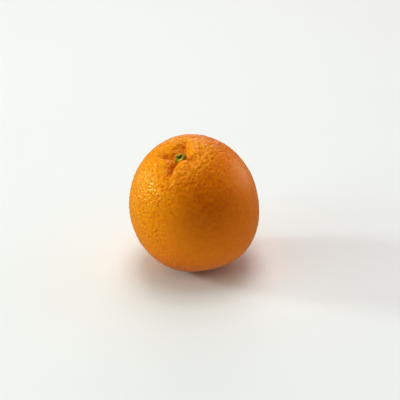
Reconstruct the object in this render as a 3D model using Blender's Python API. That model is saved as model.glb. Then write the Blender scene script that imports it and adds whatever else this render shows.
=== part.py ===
"""A whole sweet orange as picked, standing on the small flat it has settled onto.

Two pieces: `fruit`, the body with its pebbled rind, and `calyx`, the green button in the stem-end hollow.
Metres, +Z up. The fruit is shaped about its own stem axis, then leaned over to the way it rests.
"""

import math

import bmesh
import bpy
import numpy as np

MM = 0.001

# The body, about its stem axis: a near-sphere drawn out towards the stem end and narrower there.
BODY_RADIUS = 39.56 * MM
STRETCH = 0.078
PEAR = 0.0286
SQUARE_ENDS = -0.0012
OVAL = 0.0027
THREE_SIDED = 0.0084
THREE_SIDED_TURN = math.radians(223.6)

# Broad swells and flats of the rind: angle from the stem axis, heading about it, height.
SWELL_SPREAD = math.radians(19)
SWELLS = (
    (98, 4, -0.50 * MM),
    (63, 48, 0.21 * MM),
    (49, 94, 0.58 * MM),
    (117, -132, 0.32 * MM),
    (131, -84, -0.78 * MM),
    (123, -36, 0.64 * MM),
    (92, 110, -0.45 * MM),
    (110, 165, 0.40 * MM),
    (121, 60, 0.35 * MM),
)

# How the fruit rests: the stem axis leaned off the vertical, towards this heading.
STEM_LEAN = math.radians(24.5)
STEM_HEADING = math.radians(-117.2)
FLAT_DEPTH = 0.6 * MM

# The stem-end hollow and the level seat of the button in its middle.
HOLLOW_DEPTH = 3.0 * MM
HOLLOW_WIDTH = 9.5 * MM
HOLLOW_LEAN = 0.5
HOLLOW_HEADING = math.radians(115)
SEAT_DEPTH = 4.1 * MM
SEAT_MARGIN = 0.4 * MM
SEAT_WALL = 1.3 * MM

# Furrows running out from the button: heading, depth, reach, width on its low-heading and
# high-heading side, and how far its heading turns for each metre run.
FURROWS = (
    (243, 3.40 * MM, 17.0 * MM, 3.0 * MM, 0.9 * MM, 3.0),
    (170, 2.60 * MM, 15.0 * MM, 2.8 * MM, 1.1 * MM, -8.0),
    (72, 2.40 * MM, 16.0 * MM, 0.9 * MM, 3.0 * MM, 5.0),
    (52, 1.30 * MM, 10.0 * MM, 0.8 * MM, 0.8 * MM, 0.0),
    (331, 1.80 * MM, 13.0 * MM, 1.3 * MM, 1.8 * MM, 2.0),
)
CREASE = 1.2
CREASE_STEP = 1.0 * MM
FURROW_START = 1.5 * MM
FURROW_OPENS_BY = 4.0 * MM

# Lobes of rind between the furrows: heading, distance out, height, spread.
LOBES = (
    (286, 7.6 * MM, 1.00 * MM, 3.2 * MM),
    (205, 7.5 * MM, 0.85 * MM, 3.0 * MM),
    (20, 7.5 * MM, 0.80 * MM, 3.4 * MM),
    (135, 6.4 * MM, 1.20 * MM, 1.4 * MM),
    (110, 12.5 * MM, 0.65 * MM, 4.0 * MM),
    (331, 10.5 * MM, -0.60 * MM, 1.5 * MM),
    (18, 11.5 * MM, -0.50 * MM, 1.4 * MM),
    (259, 15.3 * MM, 0.35 * MM, 1.5 * MM),
    (260, 17.6 * MM, 0.35 * MM, 1.5 * MM),
    (262, 20.2 * MM, 0.30 * MM, 1.5 * MM),
)

# The blossom end: a shallow dimple round a slightly raised scar.
BLOSSOM_DEPTH = 0.9 * MM
BLOSSOM_WIDTH = 5.0 * MM
SCAR_HEIGHT = 0.5 * MM
SCAR_WIDTH = 1.8 * MM

# The rind's relief: pits on an uneven lattice, closer together in the hollow, and a slow roll.
PIT_SPACING = 3.62 * MM
PIT_SPACING_AT_STEM = 2.0 * MM
STEM_SKIN_ENDS = 11.0 * MM
BODY_SKIN_STARTS = 22.0 * MM
PIT_DEPTH = 0.28 * MM
PIT_DEPTH_AT_STEM = 0.12 * MM
SPIRAL_STEPS = 4000
PIT_SHIFT = 0.2
ROLL_HEIGHT = 0.055 * MM
ROLL_LENGTH = 9.0 * MM
ROLL_WAVES = 40
SEED = 7

# The button: profile of its cup as distance out and height, and its five short sepal tips.
NODE_GAP = 0.3 * MM
CUP_SEGMENTS = 44
CUP_PROFILE = (
    (2.70 * MM, 0.60 * MM),
    (2.68 * MM, 1.00 * MM),
    (2.55 * MM, 1.38 * MM),
    (2.25 * MM, 1.60 * MM),
    (1.90 * MM, 1.50 * MM),
    (1.55 * MM, 1.10 * MM),
    (1.20 * MM, 0.72 * MM),
    (0.60 * MM, 0.52 * MM),
)
CUP_FLOOR = 0.5 * MM
FOOT_RADIUS = 2.75 * MM
FOOT_EDGE = 0.12 * MM
FOOT_TOP = 0.34 * MM
FOOT_INSET = 0.12 * MM
UNDERSIDE_RADIUS = 1.4 * MM
SEPAL_LENGTH = 0.45 * MM
SEPAL_SPREAD = math.radians(18)
SEPAL_HEADINGS = (30, 97, 150, 205, 280)
RIM_WAVE = 0.16 * MM
SCAR_STRETCH = 0.22
SCAR_HEADING = math.radians(40)

SEAT_RING_POINTS = 30
SEAT_RINGS = (0.0, 0.35, 0.7, 1.0)
SEAT_RINGS_END = 6.2 * MM
SNAP_TO_FLAT = 0.25 * MM
SHORTEST_EDGE = 0.05 * MM


def clear_scene():
    for thing in list(bpy.data.objects):
        bpy.data.objects.remove(thing)


def material(name, colour, roughness):
    made = bpy.data.materials.new(name)
    made.use_nodes = True
    shader = made.node_tree.nodes["Principled BSDF"]
    shader.inputs["Base Color"].default_value = (*colour, 1)
    shader.inputs["Roughness"].default_value = roughness
    shader.inputs["Metallic"].default_value = 0
    return made


def smooth_step(value, start, end):
    t = np.clip((value - start) / (end - start), 0, 1)
    return t * t * (3 - 2 * t)


def turn_between(around, heading):
    return np.mod(around - heading + math.pi, 2 * math.pi) - math.pi


def directions(polar, around):
    return np.stack([np.sin(polar) * np.cos(around), np.sin(polar) * np.sin(around), np.cos(polar)], axis=-1)


def body_radius(towards):
    """Distance from the centre to the rind, before the hollow, the relief and the flat."""
    along = towards[:, 2]
    out = np.sqrt(np.maximum(0, 1 - along**2))
    around = np.arctan2(towards[:, 1], towards[:, 0])
    ratio = 1 + STRETCH * (3 * along**2 - 1) / 2
    ratio += PEAR * (5 * along**3 - 3 * along) / 2
    ratio += SQUARE_ENDS * (35 * along**4 - 30 * along**2 + 3) / 8
    ratio += OVAL * out**2 * np.sin(2 * around)
    ratio += THREE_SIDED * out**3 * np.cos(3 * around - THREE_SIDED_TURN)
    radius = BODY_RADIUS * ratio
    for polar, heading, height in SWELLS:
        middle = directions(math.radians(polar), math.radians(heading))
        apart = np.arccos(np.clip(towards @ middle, -1, 1))
        radius += height * np.exp(-((apart / SWELL_SPREAD) ** 2))
    return radius


def pole_height():
    return body_radius(np.array([[0.0, 0.0, 1.0]]))[0]


def sepal_reach(around):
    """How far the button's foot stands out: a ring with five short tips."""
    reach = np.full(np.shape(around), FOOT_RADIUS)
    for heading in SEPAL_HEADINGS:
        swing = turn_between(around, math.radians(heading))
        reach = reach + SEPAL_LENGTH * np.exp(-((swing / SEPAL_SPREAD) ** 2))
    return reach


def furrow_depth(across, around):
    depth = np.zeros(len(across))
    for heading, deep, reach, low_side, high_side, bend in FURROWS:
        swing = turn_between(around, math.radians(heading) + bend * across)
        sideways = across * np.sin(swing)
        forward = across * np.cos(swing)
        width = np.where(sideways < 0, low_side, high_side)
        fade = smooth_step(forward, FURROW_START, FURROW_OPENS_BY)
        fade *= 1 - smooth_step(forward, reach / 2, reach)
        depth += deep * fade * np.exp(-((np.abs(sideways) / width) ** CREASE))
    return depth


def lobe_height(x, y):
    height = np.zeros(len(x))
    for heading, distance, high, spread in LOBES:
        middle = distance * directions(math.pi / 2, math.radians(heading))
        height += high * np.exp(-((x - middle[0]) ** 2 + (y - middle[1]) ** 2) / spread**2)
    return height


def with_stem_end(points):
    """Sinks the hollow, its furrows and the level seat into the stem end."""
    x, y, z = points.T
    across = np.hypot(x, y)
    around = np.arctan2(y, x)
    lean = 1 + HOLLOW_LEAN * np.cos(around - HOLLOW_HEADING) * smooth_step(across, 0, HOLLOW_WIDTH / 2)
    sunk = z - HOLLOW_DEPTH * lean * np.exp(-((across / HOLLOW_WIDTH) ** 2))
    sunk += lobe_height(x, y) - furrow_depth(across, around)
    wall_start = sepal_reach(around) + SEAT_MARGIN
    rise = smooth_step(across, wall_start, wall_start + SEAT_WALL)
    seated = (1 - rise) * (pole_height() - SEAT_DEPTH) + rise * sunk
    return np.stack([x, y, np.where(z > 0, seated, z)], axis=-1)


def with_blossom_end(points):
    """Sinks the dimple at the far end and raises the scar in it."""
    x, y, z = points.T
    across = np.hypot(x, y)
    lift = BLOSSOM_DEPTH * np.exp(-((across / BLOSSOM_WIDTH) ** 2))
    lift -= SCAR_HEIGHT * np.exp(-((across / SCAR_WIDTH) ** 2))
    return np.stack([x, y, np.where(z < 0, z + lift, z)], axis=-1)


def skin_roll(points):
    """The slow unevenness of the rind: many weak waves in all directions."""
    rng = np.random.default_rng(SEED)
    heading = rng.normal(size=(ROLL_WAVES, 3))
    heading /= np.linalg.norm(heading, axis=1, keepdims=True)
    length = ROLL_LENGTH * rng.uniform(0.7, 1.6, ROLL_WAVES)
    phase = rng.uniform(0, 2 * math.pi, ROLL_WAVES)
    waves = np.cos(2 * math.pi * (points @ heading.T) / length + phase)
    return ROLL_HEIGHT * waves.sum(axis=1) / math.sqrt(ROLL_WAVES / 2)


def by_distance(across, at_stem, on_body):
    """A size that changes from its value round the stem end to its value on the body."""
    share = smooth_step(across, STEM_SKIN_ENDS, BODY_SKIN_STARTS)
    return at_stem + share * (on_body - at_stem)


def pit_spacing(across):
    return by_distance(across, PIT_SPACING_AT_STEM, PIT_SPACING)


def pit_directions(creases):
    """Middles of the pits: a golden-angle spiral, each shifted a little, clear of seat and creases."""
    polar = np.linspace(SEAT_RINGS_END / pole_height(), math.pi, SPIRAL_STEPS)
    spacing = pit_spacing(polar * pole_height())
    per_step = 2 * math.pi * np.sin(polar) * BODY_RADIUS**2 / (spacing**2 * math.sqrt(3) / 2)
    total = np.concatenate([[0], np.cumsum((per_step[1:] + per_step[:-1]) / 2 * np.diff(polar))])
    index = np.arange(int(total[-1])) + 0.5
    rng = np.random.default_rng(SEED)
    at = np.interp(index, total, polar)
    around = index * math.pi * (3 - math.sqrt(5))
    shift = PIT_SHIFT * pit_spacing(at * pole_height()) / BODY_RADIUS
    middles = directions(at, around) + shift[:, None] * rng.normal(size=(len(index), 3)) / 2
    middles /= np.linalg.norm(middles, axis=1, keepdims=True)
    nearest = np.arccos(np.clip(middles @ creases.T, -1, 1)).min(axis=1) * pole_height()
    return middles[nearest > CREASE_STEP]


def crease_directions():
    """Points along the bottom of each furrow and either side of it, so that its crease is held."""
    rows = []
    for heading, _, reach, low_side, high_side, bend in FURROWS:
        forward = np.arange(SEAT_RINGS_END + CREASE_STEP, reach, CREASE_STEP)
        for sideways in (-low_side / 2 - CREASE_STEP / 2, 0, high_side / 2 + CREASE_STEP / 2):
            across = np.hypot(forward, sideways)
            around = math.radians(heading) + bend * across + np.arctan2(sideways, forward)
            guess = directions(np.arcsin(across / pole_height()), around)
            rows.append(directions(np.arcsin(across / body_radius(guess)), around))
    return np.concatenate(rows)


def seat_directions():
    """Rings of points that hold the button's seat and its wall exactly."""
    around = np.arange(SEAT_RING_POINTS) * 2 * math.pi / SEAT_RING_POINTS
    start = sepal_reach(around) + SEAT_MARGIN
    inner = directions(np.arcsin(start[::3] / 2 / pole_height()), around[::3])
    rings = [np.array([[0.0, 0.0, 1.0]]), inner]
    for share in SEAT_RINGS:
        rings.append(directions(np.arcsin((start + share * SEAT_WALL) / pole_height()), around))
    return np.concatenate(rings)


def hull_mesh(towards):
    """The triangles that join points on a sphere to their nearest neighbours."""
    mesh = bmesh.new()
    for spot in towards:
        mesh.verts.new(spot)
    mesh.verts.index_update()
    bmesh.ops.convex_hull(mesh, input=mesh.verts)
    bmesh.ops.recalc_face_normals(mesh, faces=mesh.faces)
    faces = np.array([[corner.index for corner in face.verts] for face in mesh.faces])
    mesh.free()
    return faces


def rim_directions(middles, fixed):
    """A point between each three neighbouring pits, where the rind stands up round them."""
    faces = hull_mesh(np.concatenate([middles, fixed]))
    between = faces[(faces < len(middles)).all(axis=1)]
    spots = middles[between].sum(axis=1)
    return spots / np.linalg.norm(spots, axis=1, keepdims=True)


def lean_matrix():
    """Columns: the fruit's own x, y and stem axis, as it rests."""
    axis = directions(STEM_LEAN, STEM_HEADING)
    across = np.array([1.0, 0.0, 0.0]) - axis * axis[0]
    across /= np.linalg.norm(across)
    return np.stack([across, np.cross(axis, across), axis], axis=1)


def fruit_points(towards, sink):
    points = towards * body_radius(towards)[:, None]
    reach = np.hypot(points[:, 0], points[:, 1])
    outside_seat = np.where(points[:, 2] > 0, smooth_step(reach, SEAT_RINGS_END / 2, SEAT_RINGS_END), 1)
    points += towards * (outside_seat * (skin_roll(points) - sink))[:, None]
    return with_blossom_end(with_stem_end(points))


def add_object(name, points, faces, look):
    mesh = bpy.data.meshes.new(name)
    mesh.from_pydata(points.tolist(), [], faces)
    mesh.materials.append(look)
    mesh.shade_smooth()
    made = bpy.data.objects.new(name, mesh)
    bpy.context.scene.collection.objects.link(made)
    return made


def cut_flat(fruit):
    """Takes the rind off below the ground and closes it with the flat the fruit stands on."""
    mesh = bmesh.new()
    mesh.from_mesh(fruit.data)
    for corner in mesh.verts:
        if abs(corner.co.z) < SNAP_TO_FLAT:
            corner.co.z = 0
    everything = [*mesh.verts, *mesh.edges, *mesh.faces]
    bmesh.ops.bisect_plane(mesh, geom=everything, plane_co=(0, 0, 0), plane_no=(0, 0, 1), clear_inner=True)
    bmesh.ops.dissolve_degenerate(mesh, edges=mesh.edges, dist=SHORTEST_EDGE)
    open_edges = [edge for edge in mesh.edges if len(edge.link_faces) == 1]
    bmesh.ops.contextual_create(mesh, geom=open_edges)
    bmesh.ops.triangulate(mesh, faces=[face for face in mesh.faces if len(face.verts) > 3])
    bmesh.ops.recalc_face_normals(mesh, faces=mesh.faces)
    mesh.to_mesh(fruit.data)
    mesh.free()


def build_fruit():
    creases = crease_directions()
    fixed = np.concatenate([seat_directions(), creases])
    middles = pit_directions(creases)
    towards = np.concatenate([middles, rim_directions(middles, fixed), fixed])
    across = np.hypot(middles[:, 0], middles[:, 1]) * BODY_RADIUS
    at_stem = by_distance(across, PIT_DEPTH_AT_STEM, PIT_DEPTH)
    sink = np.zeros(len(towards))
    sink[: len(middles)] = np.where(middles[:, 2] > 0, at_stem, PIT_DEPTH)
    points = fruit_points(towards, sink) @ lean_matrix().T
    low = points[:, 2].min() + FLAT_DEPTH
    side = (points[:, :2].max(axis=0) + points[:, :2].min(axis=0)) / 2
    shift = np.array([side[0], side[1], low])
    skin = material("orange_rind", (0.80, 0.235, 0.012), 0.42)
    fruit = add_object("fruit", points - shift, hull_mesh(towards).tolist(), skin)
    cut_flat(fruit)
    return shift


def cup_rings(around):
    """The button ring by ring, from under its middle, out round the sepal tips and into the scar."""
    foot = sepal_reach(around)
    level = np.zeros(len(around))
    rings = [
        (np.full(len(around), UNDERSIDE_RADIUS), level),
        (foot - FOOT_INSET, level),
        (foot, level + FOOT_EDGE),
        (foot - FOOT_INSET, level + FOOT_TOP),
    ]
    wave = RIM_WAVE * (np.sin(2 * around + 1.1) + 0.7 * np.sin(5 * around + 0.4) + 0.5 * np.sin(9 * around))
    slot = 1 + SCAR_STRETCH * np.cos(2 * (around - SCAR_HEADING))
    top = max(height for _, height in CUP_PROFILE)
    for distance, height in CUP_PROFILE:
        inner = smooth_step(FOOT_RADIUS - distance, 0, FOOT_RADIUS / 2)
        rings.append((distance * (1 + inner * (slot - 1)), height + wave * height / top))
    return rings


def build_calyx(shift):
    around = np.arange(CUP_SEGMENTS) * 2 * math.pi / CUP_SEGMENTS
    rings = cup_rings(around)
    points = [np.zeros((1, 3))]
    for distance, height in rings:
        points.append(np.stack([distance * np.cos(around), distance * np.sin(around), height], axis=-1))
    points.append(np.array([[0.0, 0.0, CUP_FLOOR]]))
    last = 1 + len(rings) * CUP_SEGMENTS
    faces = []
    for step in range(CUP_SEGMENTS):
        ahead = (step + 1) % CUP_SEGMENTS
        faces.append((0, 1 + ahead, 1 + step))
        faces.append((last, last - CUP_SEGMENTS + step, last - CUP_SEGMENTS + ahead))
        for ring in range(len(rings) - 1):
            low = 1 + ring * CUP_SEGMENTS
            high = low + CUP_SEGMENTS
            faces.append((low + step, low + ahead, high + ahead))
            faces.append((low + step, high + ahead, high + step))
    seated = np.concatenate(points) + np.array([0, 0, pole_height() - SEAT_DEPTH + NODE_GAP])
    button = material("calyx_green", (0.20, 0.19, 0.035), 0.7)
    add_object("calyx", seated @ lean_matrix().T - shift, faces, button)


def main():
    clear_scene()
    build_calyx(build_fruit())


main()
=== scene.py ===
"""The looks of a whole sweet orange: its pitted rind and the green button in the stem-end hollow.

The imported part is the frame. The rind and the button replace their plain solids with finer skins of the
same form: a smooth body with broad swells, a blossom end, and a stem-end hollow with furrows and lobes.
The rind adds finer pits than the solid can hold, with pebbles, bumps, lumps and wrinkles.
Metres, +Z up. The fruit is shaped about its own stem axis, then leaned over to the way it rests.
"""

import math

import bmesh
import bpy
import numpy as np
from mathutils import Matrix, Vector, kdtree

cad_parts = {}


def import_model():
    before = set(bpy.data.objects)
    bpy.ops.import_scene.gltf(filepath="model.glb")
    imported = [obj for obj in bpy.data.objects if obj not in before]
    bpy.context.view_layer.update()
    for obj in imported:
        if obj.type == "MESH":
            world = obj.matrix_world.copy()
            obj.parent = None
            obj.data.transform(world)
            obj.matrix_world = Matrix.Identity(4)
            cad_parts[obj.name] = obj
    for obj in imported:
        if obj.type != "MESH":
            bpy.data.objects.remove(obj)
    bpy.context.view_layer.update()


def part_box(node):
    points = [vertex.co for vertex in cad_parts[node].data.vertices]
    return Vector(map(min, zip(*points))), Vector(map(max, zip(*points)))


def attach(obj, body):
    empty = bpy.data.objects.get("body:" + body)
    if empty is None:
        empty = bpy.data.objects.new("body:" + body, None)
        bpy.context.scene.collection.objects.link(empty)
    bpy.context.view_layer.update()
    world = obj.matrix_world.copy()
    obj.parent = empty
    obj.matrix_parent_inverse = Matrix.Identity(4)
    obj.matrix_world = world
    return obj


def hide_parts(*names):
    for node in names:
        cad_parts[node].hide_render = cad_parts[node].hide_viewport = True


MM = 0.001

# The body about its stem axis, as the solid has it.
BODY_RADIUS = 39.56 * MM
STRETCH = 0.078
PEAR = 0.0286
SQUARE_ENDS = -0.0012
OVAL = 0.0027
THREE_SIDED = 0.0084
THREE_SIDED_TURN = math.radians(223.6)
SWELL_SPREAD = math.radians(19)
SWELLS = (
    (98, 4, -0.50 * MM),
    (63, 48, 0.21 * MM),
    (49, 94, 0.58 * MM),
    (117, -132, 0.32 * MM),
    (131, -84, -0.78 * MM),
    (123, -36, 0.64 * MM),
    (92, 110, -0.45 * MM),
    (110, 165, 0.40 * MM),
    (121, 60, 0.35 * MM),
)
STEM_LEAN = math.radians(24.5)
STEM_HEADING = math.radians(-117.2)

# The stem-end hollow, the button's seat, and the furrows and lobes round it.
HOLLOW_DEPTH = 3.0 * MM
HOLLOW_WIDTH = 9.5 * MM
HOLLOW_LEAN = 0.5
HOLLOW_HEADING = math.radians(115)
SEAT_DEPTH = 4.1 * MM
SEAT_MARGIN = 0.12 * MM
SEAT_WALL = 1.2 * MM
FURROWS = (
    (243, 3.40 * MM, 17.0 * MM, 3.0 * MM, 0.9 * MM, 3.0),
    (170, 2.60 * MM, 15.0 * MM, 2.8 * MM, 1.1 * MM, -8.0),
    (72, 2.40 * MM, 16.0 * MM, 0.9 * MM, 3.0 * MM, 5.0),
    (52, 1.30 * MM, 10.0 * MM, 0.8 * MM, 0.8 * MM, 0.0),
    (331, 1.80 * MM, 13.0 * MM, 1.3 * MM, 1.8 * MM, 2.0),
)
CREASE = 1.2
FURROW_START = 1.5 * MM
FURROW_OPENS_BY = 4.0 * MM
LOBES = (
    (286, 7.6 * MM, 1.00 * MM, 3.2 * MM),
    (205, 7.5 * MM, 0.85 * MM, 3.0 * MM),
    (20, 7.5 * MM, 0.80 * MM, 3.4 * MM),
    (135, 6.4 * MM, 1.20 * MM, 1.4 * MM),
    (110, 12.5 * MM, 0.65 * MM, 4.0 * MM),
    (331, 10.5 * MM, -0.60 * MM, 1.5 * MM),
    (18, 11.5 * MM, -0.50 * MM, 1.4 * MM),
    (259, 15.3 * MM, 0.35 * MM, 1.5 * MM),
    (260, 17.6 * MM, 0.35 * MM, 1.5 * MM),
    (262, 20.2 * MM, 0.30 * MM, 1.5 * MM),
)

# The blossom end.
BLOSSOM_DEPTH = 0.9 * MM
BLOSSOM_WIDTH = 5.0 * MM
SCAR_HEIGHT = 0.5 * MM
SCAR_WIDTH = 1.8 * MM

# The rind's fine relief: pits all over, long rolls, pebbles, bumps and lumps round the stem, furrow wrinkles.
PIT_COUNT = 10900
PIT_SHIFT = 0.38
PIT_DEPTH = 0.40 * MM
PIT_RADIUS = 0.45 * MM
DOT_SIZES = (0.7, 1.3)
DOT_STRENGTHS = (0.6, 1.15)
NEAREST_DOTS = 3
ROLL_HEIGHT = 0.055 * MM
ROLL_LENGTH = 9.0 * MM
PEBBLE_HEIGHT = 0.070 * MM
LOW_PEBBLE_HEIGHT = 0.03 * MM
PEBBLES_FADE = (0.65, -0.15)
PEBBLE_LENGTH = 1.6 * MM
BUMP_COUNT = 6200
BUMP_SHIFT = 0.45
BUMP_RADIUS = 0.68 * MM
BUMP_HEIGHT = 0.30 * MM
BUMPS_FADE = (18.0 * MM, 36.0 * MM)
LUMP_COUNT = 1500
LUMP_RADIUS = 1.35 * MM
LUMP_HEIGHT = 0.90 * MM
LUMPS_END = 17.0 * MM
RIPPLE_HEIGHT = 0.34 * MM
RIPPLE_LENGTH = 1.9 * MM
WAVES = 60

# Where the rind is smoothest: the middle of that side about the stem axis, and how it fades out.
# It stays coarse round the stem, and the smooth side keeps this least share of the relief.
SMOOTH_POLAR = math.radians(82)
SMOOTH_HEADING = math.radians(312)
SMOOTH_FADE = (0.2, 0.68)
COARSE_ROUND_STEM = (16.0 * MM, 31.0 * MM)
LEAST_COARSE = 0.26

# Where the rind is paler and yellower, partly its own colour and partly painted light on the side the light
# falls on: the middle of that side, how it fades out, and round the stem.
PALE_AND_LIT_POLAR = math.radians(50)
PALE_AND_LIT_HEADING = math.radians(195)
PALE_AND_LIT_FADE = (0.0, 1.15)
PALE_AND_LIT_ROUND_STEM = (10.0 * MM, 24.0 * MM)

# Where painted shade darkens the rind: the middle of the shaded patch and its spread.
PAINTED_SHADE_POLAR = math.radians(47)
PAINTED_SHADE_HEADING = math.radians(296)
PAINTED_SHADE_SPREAD = math.radians(27)

SEED = 7

# The rind's colours, how strongly each is laid on, and its gloss.
RIPE = (0.86, 0.195, 0.002, 1)
# Pale yellow: partly the rind's own colour, partly painted light on the lit side.
PALE_AND_LIT = (0.99, 0.355, 0.007, 1)
# Painted shade: the darker orange laid on the shaded side.
PAINTED_SHADE = (0.57, 0.115, 0.001, 1)
FLECK = (0.96, 0.40, 0.012, 1)
PIT_COLOUR = (0.72, 0.13, 0.001, 1)
# Painted shade: a darker orange laid in the furrows and beside the button.
FOLD_SHADE_COLOUR = (0.46, 0.055, 0.001, 1)
BLOTCH_SCALE = 28.0
FLECK_SCALE = 420.0
GLOSS_SCALE = 160.0
GRAIN_SCALE = 820.0
BLOTCH_SHARE = 0.3
PALE_AND_LIT_SHARE = 0.8
FLECK_SHARE = 0.3
PIT_SHARE = 0.55
FOLD_SHADE_SHARE = 0.9
UNEVEN_GLOSS = 0.09
SMOOTH_SIDE_ROUGHNESS = 0.30
COARSE_SIDE_ROUGHNESS = 0.125
GRAIN_DEPTH = 0.30 * MM
UNDER_SKIN_GLOW = 0.08
GLOW_DEPTH = 2.5 * MM
GLOW_REACH = (1.0, 0.35, 0.08)
RIND_IOR = 1.45
GLOSS_TINT = (1.0, 0.62, 0.2, 1)

# The button.
FOOT_RADIUS = 2.75 * MM
SEPAL_LENGTH = 0.45 * MM
SEPAL_SPREAD = math.radians(18)
SEPAL_TOP = 0.9 * MM
SEPAL_HEADINGS = (30, 97, 150, 205, 280)
CUP_SEGMENTS = 180
CUP_STEPS = 90
CUP_PROFILE = (
    (2.80 * MM, -0.25 * MM),
    (2.80 * MM, 0.10 * MM),
    (2.70 * MM, 0.60 * MM),
    (2.68 * MM, 1.00 * MM),
    (2.55 * MM, 1.38 * MM),
    (2.25 * MM, 1.60 * MM),
    (1.90 * MM, 1.50 * MM),
    (1.55 * MM, 1.10 * MM),
    (1.20 * MM, 0.72 * MM),
    (0.60 * MM, 0.52 * MM),
    (0.00 * MM, 0.50 * MM),
)
RIM_RADIUS = 2.25 * MM
RIM_WAVE = 0.16 * MM
# Waves round the rim: how many, how strong, and how far turned.
RIM_WAVES = ((2, 1.0, 1.1), (5, 0.7, 0.4), (9, 0.5, 0.0))
CUP_SMOOTHINGS = 12
SCAR_STRETCH = 0.22
SCAR_HEADING = math.radians(40)
BUTTON_GRAIN_HEIGHT = 0.07 * MM
BUTTON_GRAIN_LENGTH = 1.4 * MM
# Patches of colour: name, middle, heading of the long side, half of the long and of the short side.
BUTTON_PATCHES = (
    # The scar patch is a brown scar with painted shade in the recess.
    ("scar_and_shade", (-0.15 * MM, 0.40 * MM), 38, 1.75 * MM, 0.85 * MM),
    ("tan", (-0.90 * MM, 2.00 * MM), 20, 1.50 * MM, 0.90 * MM),
    ("sunny", (0.20 * MM, -2.45 * MM), 5, 1.90 * MM, 0.85 * MM),
)
NODE_GAP = 0.3 * MM

# The button's colours and surface.
BUTTON_DARK = (0.20, 0.18, 0.004, 1)
BUTTON_LIGHT = (0.44, 0.38, 0.02, 1)
BUTTON_SUNNY = (0.80, 0.58, 0.05, 1)
BUTTON_TAN = (0.62, 0.42, 0.13, 1)
# Brown scar darkened to near black with painted shade in the recess.
BUTTON_SCAR_AND_SHADE = (0.035, 0.016, 0.001, 1)
BUTTON_MOTTLE_SCALE = 700.0
BUTTON_GRAIN_SCALE = 3500.0
BUTTON_ROUGHNESS = 0.6
BUTTON_GLOSS = 0.2
BUTTON_GRAIN_STRENGTH = 0.5
BUTTON_GRAIN_DEPTH = 0.12 * MM

# Camera and room.
CAMERA_HEIGHT = math.radians(28)
CAMERA_DISTANCE = 0.45617
CAMERA_ASIDE = 3.21 * MM
CAMERA_ABOVE = 2.47 * MM
LENS = 70
FLOOR_SIZE = 6.0
FLOOR_COLOUR = (0.866, 0.860, 0.848, 1)
FLOOR_ROUGHNESS = 0.8
FLOOR_GLOSS = 0.2

# The room's brightness above the horizon, and below it, where it stands in for the floor in reflections.
ROOM_ABOVE = 0.045
ROOM_BELOW = 0.18
HORIZON_BLEND = 0.02

# Soft lights: where each stands seen from the fruit, its width and height in metres, watts and colour.
LIGHT_DISTANCE = 2.0
COOL = (0.81, 1.0, 0.94)
NEUTRAL = (0.97, 1.0, 1.0)
WARM = (1.0, 0.968, 0.95)
LIGHTS = (
    ("overhead", (0.0, 0.0, 1.0), (1.0, 1.0), 12.0, WARM),
    ("overhead_front", (0.0, -0.6, 1.0), (1.0, 1.0), 3.4, NEUTRAL),
    ("overhead_back", (0.0, 0.35, 1.0), (1.0, 1.0), 5.5, WARM),
    ("back_top", (0.0, 0.75, 0.7), (1.2, 1.0), 3.2, WARM),
    ("back_strip", (0.0, 0.95, 0.3), (1.6, 0.6), 5.2, WARM),
    ("left_window", (-0.95, 0.10, 0.30), (0.32, 0.38), 15.0, COOL),
    ("left_rim", (-0.95, 0.5, 0.15), (0.8, 0.5), 2.2, COOL),
    ("left_front", (-0.85, -0.4, 0.38), (1.0, 1.0), 7.8, COOL),
    ("left_high", (-0.7, -0.1, 0.9), (1.0, 1.0), 2.0, COOL),
    ("right_high", (0.55, 0.3, 0.85), (1.3, 1.3), 1.8, WARM),
    ("right_low", (0.92, 0.1, 0.35), (1.0, 1.0), 3.0, NEUTRAL),
    ("right_front", (0.75, -0.4, 0.5), (1.0, 1.0), 0.7, NEUTRAL),
    ("right_rim", (0.8, 0.6, 0.15), (1.2, 0.9), 4.5, NEUTRAL),
)


def smooth_step(value, start, end):
    t = np.clip((value - start) / (end - start), 0, 1)
    return t * t * (3 - 2 * t)


def turn_between(around, heading):
    return np.mod(around - heading + math.pi, 2 * math.pi) - math.pi


def directions(polar, around):
    out = np.sin(polar)
    return np.stack([out * np.cos(around), out * np.sin(around), np.cos(polar)], axis=-1)


def unit(vectors):
    return vectors / np.linalg.norm(vectors, axis=-1, keepdims=True)


def body_radius(towards):
    """Distance from the centre to the rind, before the hollow and the fine relief."""
    along = towards[:, 2]
    out = np.sqrt(np.maximum(0, 1 - along**2))
    around = np.arctan2(towards[:, 1], towards[:, 0])
    ratio = 1 + STRETCH * (3 * along**2 - 1) / 2
    ratio += PEAR * (5 * along**3 - 3 * along) / 2
    ratio += SQUARE_ENDS * (35 * along**4 - 30 * along**2 + 3) / 8
    ratio += OVAL * out**2 * np.sin(2 * around)
    ratio += THREE_SIDED * out**3 * np.cos(3 * around - THREE_SIDED_TURN)
    radius = BODY_RADIUS * ratio
    for polar, heading, height in SWELLS:
        middle = directions(math.radians(polar), math.radians(heading))
        apart = np.arccos(np.clip(towards @ middle, -1, 1))
        radius += height * np.exp(-((apart / SWELL_SPREAD) ** 2))
    return radius


def pole_height():
    return body_radius(np.array([[0.0, 0.0, 1.0]]))[0]


def sepal_reach(around):
    """How far the button's foot stands out: a ring with five short tips."""
    reach = np.full(np.shape(around), FOOT_RADIUS)
    for heading in SEPAL_HEADINGS:
        swing = turn_between(around, math.radians(heading))
        reach = reach + SEPAL_LENGTH * np.exp(-((swing / SEPAL_SPREAD) ** 2))
    return reach


def furrow_fade(forward, opens_by, reach):
    """How open a furrow is along its length: shut at the button, open by one distance, gone at its reach."""
    return smooth_step(forward, FURROW_START, opens_by) * (1 - smooth_step(forward, reach / 2, reach))


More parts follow.
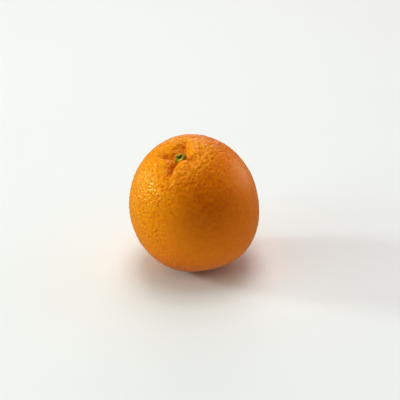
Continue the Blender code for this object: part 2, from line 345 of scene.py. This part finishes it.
def furrow_depth(across, around):
    depth = np.zeros(len(across))
    for heading, deep, reach, low_side, high_side, bend in FURROWS:
        swing = turn_between(around, math.radians(heading) + bend * across)
        sideways = across * np.sin(swing)
        forward = across * np.cos(swing)
        width = np.where(sideways < 0, low_side, high_side)
        fade = furrow_fade(forward, FURROW_OPENS_BY, reach)
        depth += deep * fade * np.exp(-((np.abs(sideways) / width) ** CREASE))
    return depth


def ripple_height(across, around):
    """Wrinkles across the broad wall of the deepest furrow."""
    heading, _, reach, low_side, _, bend = FURROWS[0]
    swing = turn_between(around, math.radians(heading) + bend * across)
    sideways = across * np.sin(swing)
    forward = across * np.cos(swing)
    fade = furrow_fade(forward, 2 * FURROW_OPENS_BY, reach)
    wall = np.exp(-(((sideways + low_side) / low_side) ** 2))
    return RIPPLE_HEIGHT * fade * wall * np.sin(2 * math.pi * forward / RIPPLE_LENGTH)


def lobe_height(x, y):
    height = np.zeros(len(x))
    for heading, distance, high, spread in LOBES:
        middle = distance * directions(math.pi / 2, math.radians(heading))
        height += high * np.exp(-((x - middle[0]) ** 2 + (y - middle[1]) ** 2) / spread**2)
    return height


def with_stem_end(points):
    """Sinks the hollow, its furrows and the button's seat into the stem end."""
    x, y, z = points.T
    across = np.hypot(x, y)
    around = np.arctan2(y, x)
    lean = 1 + HOLLOW_LEAN * np.cos(around - HOLLOW_HEADING) * smooth_step(across, 0, HOLLOW_WIDTH / 2)
    sunk = z - HOLLOW_DEPTH * lean * np.exp(-((across / HOLLOW_WIDTH) ** 2))
    sunk += lobe_height(x, y) - furrow_depth(across, around) + ripple_height(across, around)
    wall_start = sepal_reach(around) + SEAT_MARGIN
    rise = smooth_step(across, wall_start, wall_start + SEAT_WALL)
    seated = (1 - rise) * (pole_height() - SEAT_DEPTH) + rise * sunk
    return np.stack([x, y, np.where(z > 0, seated, z)], axis=-1)


def with_blossom_end(points):
    """Sinks the dimple at the far end and raises the scar in it."""
    x, y, z = points.T
    across = np.hypot(x, y)
    dimple = BLOSSOM_DEPTH * np.exp(-((across / BLOSSOM_WIDTH) ** 2))
    scar_and_shade = SCAR_HEIGHT * np.exp(-((across / SCAR_WIDTH) ** 2))
    return np.stack([x, y, np.where(z < 0, z + (dimple - scar_and_shade), z)], axis=-1)


def waviness(points, length, seed):
    """Smooth random unevenness of about the given wavelength, with a spread of 1."""
    rng = np.random.default_rng(seed)
    heading = unit(rng.normal(size=(WAVES, 3)))
    lengths = length * rng.uniform(0.7, 1.6, WAVES)
    phase = rng.uniform(0, 2 * math.pi, WAVES)
    waves = np.cos(2 * math.pi * (points @ heading.T) / lengths + phase)
    return waves.sum(axis=1) / math.sqrt(WAVES / 2)


def lean_matrix():
    """Columns: the fruit's own x, y and stem axis, as it rests."""
    axis = directions(STEM_LEAN, STEM_HEADING)
    across = unit(np.array([1.0, 0.0, 0.0]) - axis * axis[0])
    return np.stack([across, np.cross(axis, across), axis], axis=1)


def spread_directions(count, shift, seed):
    """Points all over a sphere: a golden-angle spiral with each point shifted a little."""
    rng = np.random.default_rng(seed)
    index = np.arange(count) + 0.5
    middles = directions(np.arccos(1 - 2 * index / count), index * math.pi * (3 - math.sqrt(5)))
    step = math.sqrt(4 * math.pi / count)
    return unit(middles + shift * step * rng.normal(size=middles.shape))


def hull_faces(towards):
    """The triangles that join points on a sphere to their nearest neighbours."""
    mesh = bmesh.new()
    for spot in towards:
        mesh.verts.new(spot)
    mesh.verts.index_update()
    bmesh.ops.convex_hull(mesh, input=mesh.verts)
    bmesh.ops.recalc_face_normals(mesh, faces=mesh.faces)
    faces = np.array([[corner.index for corner in face.verts] for face in mesh.faces])
    mesh.free()
    return faces


def split_triangles(towards, faces):
    """Each triangle cut into nine: two points along every side and one in the middle."""
    sides = np.concatenate([faces[:, [0, 1]], faces[:, [1, 2]], faces[:, [2, 0]]])
    unique, index = np.unique(np.sort(sides, axis=1), axis=0, return_inverse=True)
    index = index.ravel()
    low, high = towards[unique[:, 0]], towards[unique[:, 1]]
    points = np.concatenate([towards, 2 * low + high, low + 2 * high, towards[faces].sum(axis=1)])
    forward = sides[:, 0] < sides[:, 1]
    near = len(towards) + index + np.where(forward, 0, len(unique))
    far = len(towards) + index + np.where(forward, len(unique), 0)
    ab, bc, ca = near.reshape(3, -1)
    ba, cb, ac = far.reshape(3, -1)
    a, b, c = faces.T
    middle = len(towards) + 2 * len(unique) + np.arange(len(faces))
    small = (
        (a, ab, ac),
        (b, bc, ba),
        (c, ca, cb),
        (ab, ba, middle),
        (bc, cb, middle),
        (ca, ac, middle),
        (ab, middle, ac),
        (bc, middle, ba),
        (ca, middle, cb),
    )
    return unit(points), np.concatenate([np.stack(three, axis=1) for three in small])


def dot_heights(towards, middles, radius, seed):
    """Round dots on a sphere, 1 in the middle of the strongest: they differ in size and strength."""
    rng = np.random.default_rng(seed)
    size = rng.uniform(*DOT_SIZES, len(middles))
    strength = rng.uniform(*DOT_STRENGTHS, len(middles))
    tree = kdtree.KDTree(len(middles))
    for index, spot in enumerate(middles):
        tree.insert(spot, index)
    tree.balance()
    nearest = np.array([[found[1:] for found in tree.find_n(spot, NEAREST_DOTS)] for spot in towards])
    owner = nearest[:, :, 0].astype(int)
    apart = nearest[:, :, 1] * BODY_RADIUS / (radius * size[owner])
    return (strength[owner] * np.exp(-(apart**2))).sum(axis=1)


def away_from_front_lobe(points):
    """0 on the smooth lobe in front of the button, 1 well away from it."""
    heading, distance, _, spread = LOBES[0]
    middle = distance * directions(math.pi / 2, math.radians(heading))
    apart = np.hypot(points[:, 0] - middle[0], points[:, 1] - middle[1])
    return smooth_step(apart, spread / 2, 2 * spread)


def skin_points(towards, pits):
    """The rind in the fruit's own axes, with its rolls, pebbles and pits."""
    points = towards * body_radius(towards)[:, None]
    across = np.hypot(points[:, 0], points[:, 1])
    near_stem = np.where(points[:, 2] > 0, 1 - smooth_step(across, *BUMPS_FADE), 0)
    clear_of_seat = np.where(points[:, 2] > 0, smooth_step(across, FOOT_RADIUS, 2 * FOOT_RADIUS), 1)
    bump = BUMP_HEIGHT * near_stem * away_from_front_lobe(points)
    low = smooth_step(-towards[:, 2], -PEBBLES_FADE[0], -PEBBLES_FADE[1])
    pebble = PEBBLE_HEIGHT + low * (LOW_PEBBLE_HEIGHT - PEBBLE_HEIGHT)
    relief = ROLL_HEIGHT * waviness(points, ROLL_LENGTH, SEED)
    relief += pebble * waviness(points, PEBBLE_LENGTH, SEED + 2)
    bumps = spread_directions(BUMP_COUNT, BUMP_SHIFT, SEED + 3)
    relief += bump * dot_heights(towards, bumps, BUMP_RADIUS, SEED + 4)
    lumps = spread_directions(LUMP_COUNT, BUMP_SHIFT, SEED + 6)
    round_stem = np.where(points[:, 2] > 0, 1 - smooth_step(across, LUMPS_END / 2, LUMPS_END), 0)
    around = np.arctan2(points[:, 1], points[:, 0])
    out_of_furrows = np.exp(-furrow_depth(across, around) / LUMP_HEIGHT)
    lump = LUMP_HEIGHT * round_stem * out_of_furrows * away_from_front_lobe(points)
    relief += lump * dot_heights(towards, lumps, LUMP_RADIUS, SEED + 8)
    relief -= PIT_DEPTH * pits
    points += towards * (clear_of_seat * coarse_shares(towards) * relief)[:, None]
    return with_blossom_end(with_stem_end(points))


def fold_shade_shares(towards):
    """How deep in a furrow or beside the button each point lies, 0 to 1: where painted shade darkens the
    rind.
    """
    points = towards * body_radius(towards)[:, None]
    across = np.hypot(points[:, 0], points[:, 1])
    around = np.arctan2(points[:, 1], points[:, 0])
    beside_button = 1 - smooth_step(across, sepal_reach(around), sepal_reach(around) + SEAT_WALL)
    share = np.maximum(furrow_depth(across, around) / FURROWS[0][1], beside_button)
    return np.where(points[:, 2] > 0, np.clip(share, 0, 1), 0)


def round_stem_shares(towards, near, far):
    across = BODY_RADIUS * np.hypot(towards[:, 0], towards[:, 1])
    return np.where(towards[:, 2] > 0, 1 - smooth_step(across, near, far), 0)


def coarse_shares(towards):
    """How strong the relief is at each point: full round the stem and all round but for one smooth side."""
    side = smooth_step(towards @ directions(SMOOTH_POLAR, SMOOTH_HEADING), *SMOOTH_FADE)
    coarse = np.maximum(1 - side, round_stem_shares(towards, *COARSE_ROUND_STEM))
    return LEAST_COARSE + (1 - LEAST_COARSE) * coarse


def pale_and_lit_shares(towards):
    """How much paler and yellower each point is, partly its own colour and partly painted light: most round
    the stem end and down the side beside it.
    """
    side = smooth_step(towards @ directions(PALE_AND_LIT_POLAR, PALE_AND_LIT_HEADING), *PALE_AND_LIT_FADE)
    return np.maximum(side, round_stem_shares(towards, *PALE_AND_LIT_ROUND_STEM))


def painted_shade_shares(towards):
    """How much painted shade darkens each point: a soft dark patch on one side."""
    apart = np.arccos(np.clip(towards @ directions(PAINTED_SHADE_POLAR, PAINTED_SHADE_HEADING), -1, 1))
    return np.exp(-((apart / PAINTED_SHADE_SPREAD) ** 2))


def add_piece(name, points, faces, look):
    mesh = bpy.data.meshes.new(name)
    mesh.from_pydata(points.tolist(), [], faces.tolist())
    mesh.materials.append(look)
    mesh.shade_smooth()
    made = bpy.data.objects.new(name, mesh)
    bpy.context.scene.collection.objects.link(made)
    return made


def add_share(piece, name, values):
    layer = piece.data.attributes.new(name, "FLOAT", "POINT")
    layer.data.foreach_set("value", values.astype(np.float32))


class Nodes:
    """Short calls for building one material's node tree."""

    def __init__(self, name):
        self.material = bpy.data.materials.new(name)
        self.material.use_nodes = True
        self.tree = self.material.node_tree
        self.shader = self.tree.nodes["Principled BSDF"]

    def add(self, kind, **settings):
        node = self.tree.nodes.new(kind)
        for name, value in settings.items():
            setattr(node, name, value)
        return node

    def feed(self, socket, value):
        if isinstance(value, bpy.types.NodeSocket):
            self.tree.links.new(value, socket)
        else:
            socket.default_value = value

    def noise(self, where, scale, detail=3.0, roughness=0.55):
        node = self.add("ShaderNodeTexNoise")
        self.feed(node.inputs["Vector"], where)
        self.feed(node.inputs["Scale"], scale)
        self.feed(node.inputs["Detail"], detail)
        self.feed(node.inputs["Roughness"], roughness)
        return node.outputs["Fac"]

    def attribute(self, name):
        return self.add("ShaderNodeAttribute", attribute_name=name).outputs["Fac"]

    def spread(self, value, low, high, start=0.0, end=1.0):
        node = self.add("ShaderNodeMapRange", clamp=True)
        self.feed(node.inputs["Value"], value)
        for socket, number in zip(("From Min", "From Max", "To Min", "To Max"), (low, high, start, end)):
            self.feed(node.inputs[socket], number)
        return node.outputs["Result"]

    def math(self, operation, first, second):
        node = self.add("ShaderNodeMath", operation=operation)
        self.feed(node.inputs[0], first)
        self.feed(node.inputs[1], second)
        return node.outputs[0]

    def mix(self, share, first, second, how="MIX"):
        node = self.add("ShaderNodeMix", data_type="RGBA", blend_type=how)
        self.feed(node.inputs["Factor"], share)
        self.feed(node.inputs["A"], first)
        self.feed(node.inputs["B"], second)
        return node.outputs["Result"]

    def bump(self, height, strength, distance):
        node = self.add("ShaderNodeBump")
        self.feed(node.inputs["Height"], height)
        self.feed(node.inputs["Strength"], strength)
        self.feed(node.inputs["Distance"], distance)
        return node.outputs["Normal"]


def rind_material():
    """Waxy orange peel: mottled orange, paler and yellower partly by painted light, darker in the pits, with
    painted shade in the furrows, beside the button and on one side, and a thin gloss over it.
    """
    look = Nodes("orange_rind")
    where = look.add("ShaderNodeTexCoord").outputs["Object"]
    blotch = look.spread(look.noise(where, BLOTCH_SCALE, 2.0), 0.35, 0.65)
    fleck = look.spread(look.noise(where, FLECK_SCALE, 3.0), 0.35, 0.7)
    blotched = look.math("MULTIPLY", blotch, BLOTCH_SHARE)
    # Paler and yellower: partly the rind's own colour, partly painted light.
    paled_and_lit = look.math("MULTIPLY", look.attribute("pale_and_lit"), PALE_AND_LIT_SHARE)
    colour = look.mix(look.math("ADD", blotched, paled_and_lit), RIPE, PALE_AND_LIT)
    # Painted shade: a darker patch on the shaded side.
    colour = look.mix(look.attribute("deep"), colour, PAINTED_SHADE)
    colour = look.mix(look.math("MULTIPLY", fleck, FLECK_SHARE), colour, FLECK)
    colour = look.mix(look.math("MULTIPLY", look.attribute("pit"), PIT_SHARE), colour, PIT_COLOUR)
    # Painted shade in the furrows and beside the button.
    colour = look.mix(look.math("MULTIPLY", look.attribute("fold_shade"), FOLD_SHADE_SHARE), colour, FOLD_SHADE_COLOUR)
    look.feed(look.shader.inputs["Base Color"], colour)
    coarse = look.attribute("coarse")
    uneven = look.spread(look.noise(where, GLOSS_SCALE, 2.0), 0.3, 0.7, 0.0, UNEVEN_GLOSS)
    satin = look.spread(coarse, LEAST_COARSE, 1.0, SMOOTH_SIDE_ROUGHNESS, COARSE_SIDE_ROUGHNESS)
    look.feed(look.shader.inputs["Roughness"], look.math("ADD", uneven, satin))
    grain = look.math("MULTIPLY", look.noise(where, GRAIN_SCALE, 1.0), coarse)
    look.feed(look.shader.inputs["Normal"], look.bump(grain, 1.0, GRAIN_DEPTH))
    look.feed(look.shader.inputs["Subsurface Weight"], UNDER_SKIN_GLOW)
    look.feed(look.shader.inputs["Subsurface Radius"], GLOW_REACH)
    look.feed(look.shader.inputs["Subsurface Scale"], GLOW_DEPTH)
    look.feed(look.shader.inputs["IOR"], RIND_IOR)
    look.feed(look.shader.inputs["Specular Tint"], GLOSS_TINT)
    return look.material


def button_material():
    """Dry stem button: olive, with a yellow front, a tan patch on the far rim and a dark brown scar with
    painted shade over it in the recess.
    """
    look = Nodes("stem_button")
    where = look.add("ShaderNodeTexCoord").outputs["Object"]
    mottle = look.spread(look.noise(where, BUTTON_MOTTLE_SCALE, 3.0), 0.35, 0.65)
    colour = look.mix(mottle, BUTTON_DARK, BUTTON_LIGHT)
    colour = look.mix(look.attribute("sunny"), colour, BUTTON_SUNNY)
    colour = look.mix(look.attribute("tan"), colour, BUTTON_TAN)
    # Scar colour with painted shade in the recess.
    colour = look.mix(look.attribute("scar_and_shade"), colour, BUTTON_SCAR_AND_SHADE)
    look.feed(look.shader.inputs["Base Color"], colour)
    look.feed(look.shader.inputs["Roughness"], BUTTON_ROUGHNESS)
    look.feed(look.shader.inputs["Specular IOR Level"], BUTTON_GLOSS)
    grain = look.noise(where, BUTTON_GRAIN_SCALE, 4.0)
    look.feed(look.shader.inputs["Normal"], look.bump(grain, BUTTON_GRAIN_STRENGTH, BUTTON_GRAIN_DEPTH))
    return look.material


def floor_material():
    look = Nodes("pale_floor")
    look.feed(look.shader.inputs["Base Color"], FLOOR_COLOUR)
    look.feed(look.shader.inputs["Roughness"], FLOOR_ROUGHNESS)
    look.feed(look.shader.inputs["Specular IOR Level"], FLOOR_GLOSS)
    return look.material


def placement(points, leaned):
    """The shift that brings the leaned skin onto the solid's box: centred in plan, with the tops level."""
    low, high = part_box("fruit")
    world = points @ leaned.T
    side = (world[:, :2].max(axis=0) + world[:, :2].min(axis=0)) / 2
    top = world[:, 2].max() - high[2]
    middle = (low + high) / 2
    return np.array([side[0] - middle[0], side[1] - middle[1], top])


def build_rind(leaned):
    middles = spread_directions(PIT_COUNT, PIT_SHIFT, SEED)
    towards, faces = split_triangles(middles, hull_faces(middles))
    pits = dot_heights(towards, middles, PIT_RADIUS, SEED + 1)
    points = skin_points(towards, pits)
    shift = placement(points, leaned)
    world = points @ leaned.T - shift
    world[:, 2] = np.maximum(world[:, 2], 0)
    rind = add_piece("rind", world, faces, rind_material())
    add_share(rind, "pit", np.clip(pits * coarse_shares(towards), 0, 1))
    add_share(rind, "coarse", coarse_shares(towards))
    # This share places the painted shade in the furrows and beside the button.
    add_share(rind, "fold_shade", fold_shade_shares(towards))
    # This share places the pale colour, partly painted light.
    add_share(rind, "pale_and_lit", pale_and_lit_shares(towards))
    # This share places the painted shade on the shaded side.
    add_share(rind, "deep", painted_shade_shares(towards))
    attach(rind, "root")
    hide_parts("fruit")
    return shift


def cup_curve():
    """The cup's profile as a smooth run of points through its few bends."""
    bends = np.array(CUP_PROFILE)
    run = np.concatenate([[0], np.cumsum(np.linalg.norm(np.diff(bends, axis=0), axis=1))])
    along = np.linspace(0, run[-1], CUP_STEPS)
    curve = np.stack([np.interp(along, run, bends[:, 0]), np.interp(along, run, bends[:, 1])], axis=1)
    for _ in range(CUP_SMOOTHINGS):
        curve[1:-1] = (curve[:-2] + 2 * curve[1:-1] + curve[2:]) / 4
    return curve


def cup_points():
    """The cup ring by ring, from under its foot, up the wall, over the rim and into the scar."""
    around = np.arange(CUP_SEGMENTS) * 2 * math.pi / CUP_SEGMENTS
    curve = cup_curve()
    outside = (np.arange(CUP_STEPS) <= np.argmax(curve[:, 1]))[:, None]
    distance, turn = np.meshgrid(curve[:, 0], around, indexing="ij")
    height = np.repeat(curve[:, 1][:, None], CUP_SEGMENTS, axis=1)
    at_foot = outside * (1 - smooth_step(height, 0, SEPAL_TOP))
    distance = distance + at_foot * (sepal_reach(turn) - FOOT_RADIUS)
    inner = 1 - smooth_step(distance, RIM_RADIUS / 2, RIM_RADIUS)
    distance = distance * (1 + SCAR_STRETCH * np.cos(2 * (turn - SCAR_HEADING)) * inner)
    wave = sum(strength * np.sin(count * turn + start) for count, strength, start in RIM_WAVES)
    height = height + RIM_WAVE * wave * np.clip(height / curve[:, 1].max(), 0, 1)
    points = np.stack([distance * np.cos(turn), distance * np.sin(turn), height], axis=-1).reshape(-1, 3)
    points[:, 2] += BUTTON_GRAIN_HEIGHT * waviness(points, BUTTON_GRAIN_LENGTH, SEED + 5)
    return points


def cup_faces():
    faces = []
    for ring in range(CUP_STEPS - 1):
        low = ring * CUP_SEGMENTS
        high = low + CUP_SEGMENTS
        for step in range(CUP_SEGMENTS):
            ahead = (step + 1) % CUP_SEGMENTS
            faces.append((low + step, low + ahead, high + ahead, high + step))
    return np.array(faces)


def patch_share(points, middle, heading, long_side, short_side):
    """1 in the middle of an oval patch of the button, 0 outside it, seen down the stem axis."""
    x, y = (points[:, :2] - middle).T
    along = x * math.cos(heading) + y * math.sin(heading)
    beside = y * math.cos(heading) - x * math.sin(heading)
    return 1 - smooth_step(np.hypot(along / long_side, beside / short_side), 0.5, 1.2)


def build_button(leaned, shift):
    points = cup_points()
    seated = points + np.array([0, 0, pole_height() - SEAT_DEPTH + NODE_GAP])
    button = add_piece("stem_button", seated @ leaned.T - shift, cup_faces(), button_material())
    for name, middle, heading, long_side, short_side in BUTTON_PATCHES:
        add_share(button, name, patch_share(points, middle, math.radians(heading), long_side, short_side))
    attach(button, "root")
    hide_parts("calyx")


def build_floor():
    half = FLOOR_SIZE / 2
    outline = np.array([[-half, -half, 0], [half, -half, 0], [half, half, 0], [-half, half, 0]])
    floor = add_piece("floor", outline, np.array([[0, 1, 2, 3]]), floor_material())
    # The fruit doesn't mirror the white floor, only the dimmer room below it.
    floor.visible_glossy = False


def add_light(name, towards, size, energy, colour, target):
    lamp = bpy.data.lights.new(name, "AREA")
    lamp.shape = "RECTANGLE"
    lamp.size, lamp.size_y = size
    lamp.energy = energy
    lamp.color = colour
    placed = bpy.data.objects.new(name, lamp)
    bpy.context.scene.collection.objects.link(placed)
    heading = Vector(towards).normalized()
    placed.location = target + heading * LIGHT_DISTANCE
    placed.rotation_euler = heading.to_track_quat("Z", "Y").to_euler()


def build_lights(target):
    for name, towards, size, energy, colour in LIGHTS:
        add_light(name, towards, size, energy, colour, target)


def build_room():
    """Faint even light all round, a little brighter below the horizon."""
    world = bpy.data.worlds.new("studio")
    bpy.context.scene.world = world
    world.use_nodes = True
    tree = world.node_tree
    light = tree.nodes["Background"]
    light.inputs["Color"].default_value = (1, 1, 1, 1)
    heading = tree.nodes.new("ShaderNodeTexCoord").outputs["Generated"]
    split = tree.nodes.new("ShaderNodeSeparateXYZ")
    tree.links.new(heading, split.inputs["Vector"])
    fade = tree.nodes.new("ShaderNodeMapRange")
    fade.inputs["From Min"].default_value = -HORIZON_BLEND
    fade.inputs["From Max"].default_value = 0.0
    fade.inputs["To Min"].default_value = ROOM_BELOW
    fade.inputs["To Max"].default_value = ROOM_ABOVE
    tree.links.new(split.outputs["Z"], fade.inputs["Value"])
    tree.links.new(fade.outputs["Result"], light.inputs["Strength"])


def build_camera(centre):
    back = Vector((0, -math.cos(CAMERA_HEIGHT), math.sin(CAMERA_HEIGHT)))
    above = Vector((0, math.sin(CAMERA_HEIGHT), math.cos(CAMERA_HEIGHT)))
    lens = bpy.data.cameras.new("camera")
    lens.lens = LENS
    lens.clip_start = 0.01
    camera = bpy.data.objects.new("camera", lens)
    bpy.context.scene.collection.objects.link(camera)
    camera.location = centre + back * CAMERA_DISTANCE + Vector((CAMERA_ASIDE, 0, 0)) + above * CAMERA_ABOVE
    camera.rotation_euler = back.to_track_quat("Z", "Y").to_euler()
    bpy.context.scene.camera = camera


def main():
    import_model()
    leaned = lean_matrix()
    shift = build_rind(leaned)
    build_button(leaned, shift)
    build_floor()
    centre = Vector((-shift).tolist())
    build_lights(centre)
    build_room()
    build_camera(centre)
    bpy.context.scene.view_settings.view_transform = "Standard"
    bpy.context.scene.view_settings.look = "Medium High Contrast"


main()
